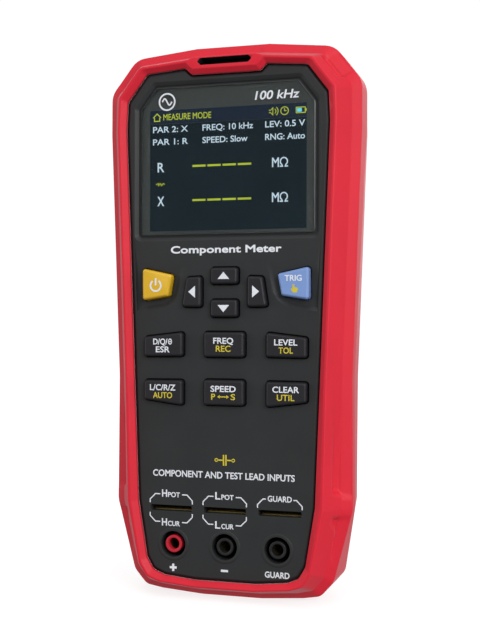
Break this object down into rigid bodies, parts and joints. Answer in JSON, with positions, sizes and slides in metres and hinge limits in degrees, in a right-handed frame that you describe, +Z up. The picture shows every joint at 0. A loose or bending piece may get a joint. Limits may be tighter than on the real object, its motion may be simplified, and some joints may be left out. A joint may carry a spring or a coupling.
{
  "type": "handheld LCR meter",
  "caption": "Handheld LCR meter with a protective rubber boot, colour display, moulded keys, component slots, shrouded test jacks and a fold-out stand.",
  "frame": {"origin": "middle of the underside, on the surface that the meter stands on", "axes": "+Z up along the meter's length, -Y out of the display, +X to the right when facing the display"},
  "size_m": [0.0934, 0.042, 0.196],
  "materials": {
    "case_plastic": "finely grained dark grey",
    "boot_rubber": "satin red overmould rubber",
    "lens_clear": "clear window",
    "screen_glass": "colour display",
    "steel": "plated",
    "flex_film": "polyimide film",
    "mat_silicone": "matt silicone",
    "key_black": "satin moulded key",
    "key_yellow": "satin moulded key",
    "key_blue": "satin moulded key",
    "board_green": "solder mask",
    "chip_black": "moulded package",
    "relay_white": "moulded housing",
    "insulator_black": "moulded insulator",
    "insulator_red": "moulded insulator",
    "contact_gold": "gold plated",
    "battery_sleeve": "shrink sleeve over steel cells",
    "label_grey": "blank foil label"
  },
  "bodies": {
    "housing": {"front_case": "case_plastic", "rear_case": "case_plastic", "boot": "boot_rubber", "lens": "lens_clear", "display_panel": "screen_glass", "display_frame": "steel", "display_flex": "flex_film", "keypad_mat": "mat_silicone", "snap_domes": "steel", "main_board": "board_green", "board_screws": "steel", "shield_can": "steel", "board_chips": "chip_black", "range_relays": "relay_white", "buzzer": "chip_black", "usb_socket": "steel", "slot_block": "insulator_black", "slot_contacts": "contact_gold", "jack_plus": "insulator_red", "jack_minus": "insulator_black", "jack_guard": "insulator_black", "jack_contacts": "contact_gold", "battery_pack": "battery_sleeve", "battery_connector": "relay_white", "battery_door": "case_plastic", "battery_door_screws": "steel", "case_screws": "steel", "rating_label": "label_grey"},
    "key_power": {"key_power": "key_yellow"},
    "key_trig": {"key_trig": "key_blue"},
    "key_up": {"key_up": "key_black"},
    "key_down": {"key_down": "key_black"},
    "key_left": {"key_left": "key_black"},
    "key_right": {"key_right": "key_black"},
    "key_quality": {"key_quality": "key_black"},
    "key_frequency": {"key_frequency": "key_black"},
    "key_level": {"key_level": "key_black"},
    "key_mode": {"key_mode": "key_black"},
    "key_speed": {"key_speed": "key_black"},
    "key_clear": {"key_clear": "key_black"},
    "tilt_stand": {"tilt_stand": "case_plastic"},
    "port_cover": {"port_cover": "boot_rubber"}
  },
  "joints": [
    {"name": "key_power_press", "type": "slide", "parent": "housing", "child": "key_power", "axis": [0, 1, 0], "range_m": [0, 0.0008], "stiffness_N_per_m": 400},
    {"name": "key_trig_press", "type": "slide", "parent": "housing", "child": "key_trig", "axis": [0, 1, 0], "range_m": [0, 0.0008], "stiffness_N_per_m": 400},
    {"name": "key_up_press", "type": "slide", "parent": "housing", "child": "key_up", "axis": [0, 1, 0], "range_m": [0, 0.0008], "stiffness_N_per_m": 400},
    {"name": "key_down_press", "type": "slide", "parent": "housing", "child": "key_down", "axis": [0, 1, 0], "range_m": [0, 0.0008], "stiffness_N_per_m": 400},
    {"name": "key_left_press", "type": "slide", "parent": "housing", "child": "key_left", "axis": [0, 1, 0], "range_m": [0, 0.0008], "stiffness_N_per_m": 400},
    {"name": "key_right_press", "type": "slide", "parent": "housing", "child": "key_right", "axis": [0, 1, 0], "range_m": [0, 0.0008], "stiffness_N_per_m": 400},
    {"name": "key_quality_press", "type": "slide", "parent": "housing", "child": "key_quality", "axis": [0, 1, 0], "range_m": [0, 0.0008], "stiffness_N_per_m": 400},
    {"name": "key_frequency_press", "type": "slide", "parent": "housing", "child": "key_frequency", "axis": [0, 1, 0], "range_m": [0, 0.0008], "stiffness_N_per_m": 400},
    {"name": "key_level_press", "type": "slide", "parent": "housing", "child": "key_level", "axis": [0, 1, 0], "range_m": [0, 0.0008], "stiffness_N_per_m": 400},
    {"name": "key_mode_press", "type": "slide", "parent": "housing", "child": "key_mode", "axis": [0, 1, 0], "range_m": [0, 0.0008], "stiffness_N_per_m": 400},
    {"name": "key_speed_press", "type": "slide", "parent": "housing", "child": "key_speed", "axis": [0, 1, 0], "range_m": [0, 0.0008], "stiffness_N_per_m": 400},
    {"name": "key_clear_press", "type": "slide", "parent": "housing", "child": "key_clear", "axis": [0, 1, 0], "range_m": [0, 0.0008], "stiffness_N_per_m": 400},
    {"name": "stand_hinge", "type": "hinge", "parent": "housing", "child": "tilt_stand", "pos_m": [0, 0.0176, 0.14], "axis": [1, 0, 0], "range_deg": [0, 60]},
    {"name": "port_flap", "type": "hinge", "parent": "housing", "child": "port_cover", "pos_m": [0, -0.0036, 0.1958], "axis": [-1, 0, 0], "range_deg": [0, 110]}
  ]
}
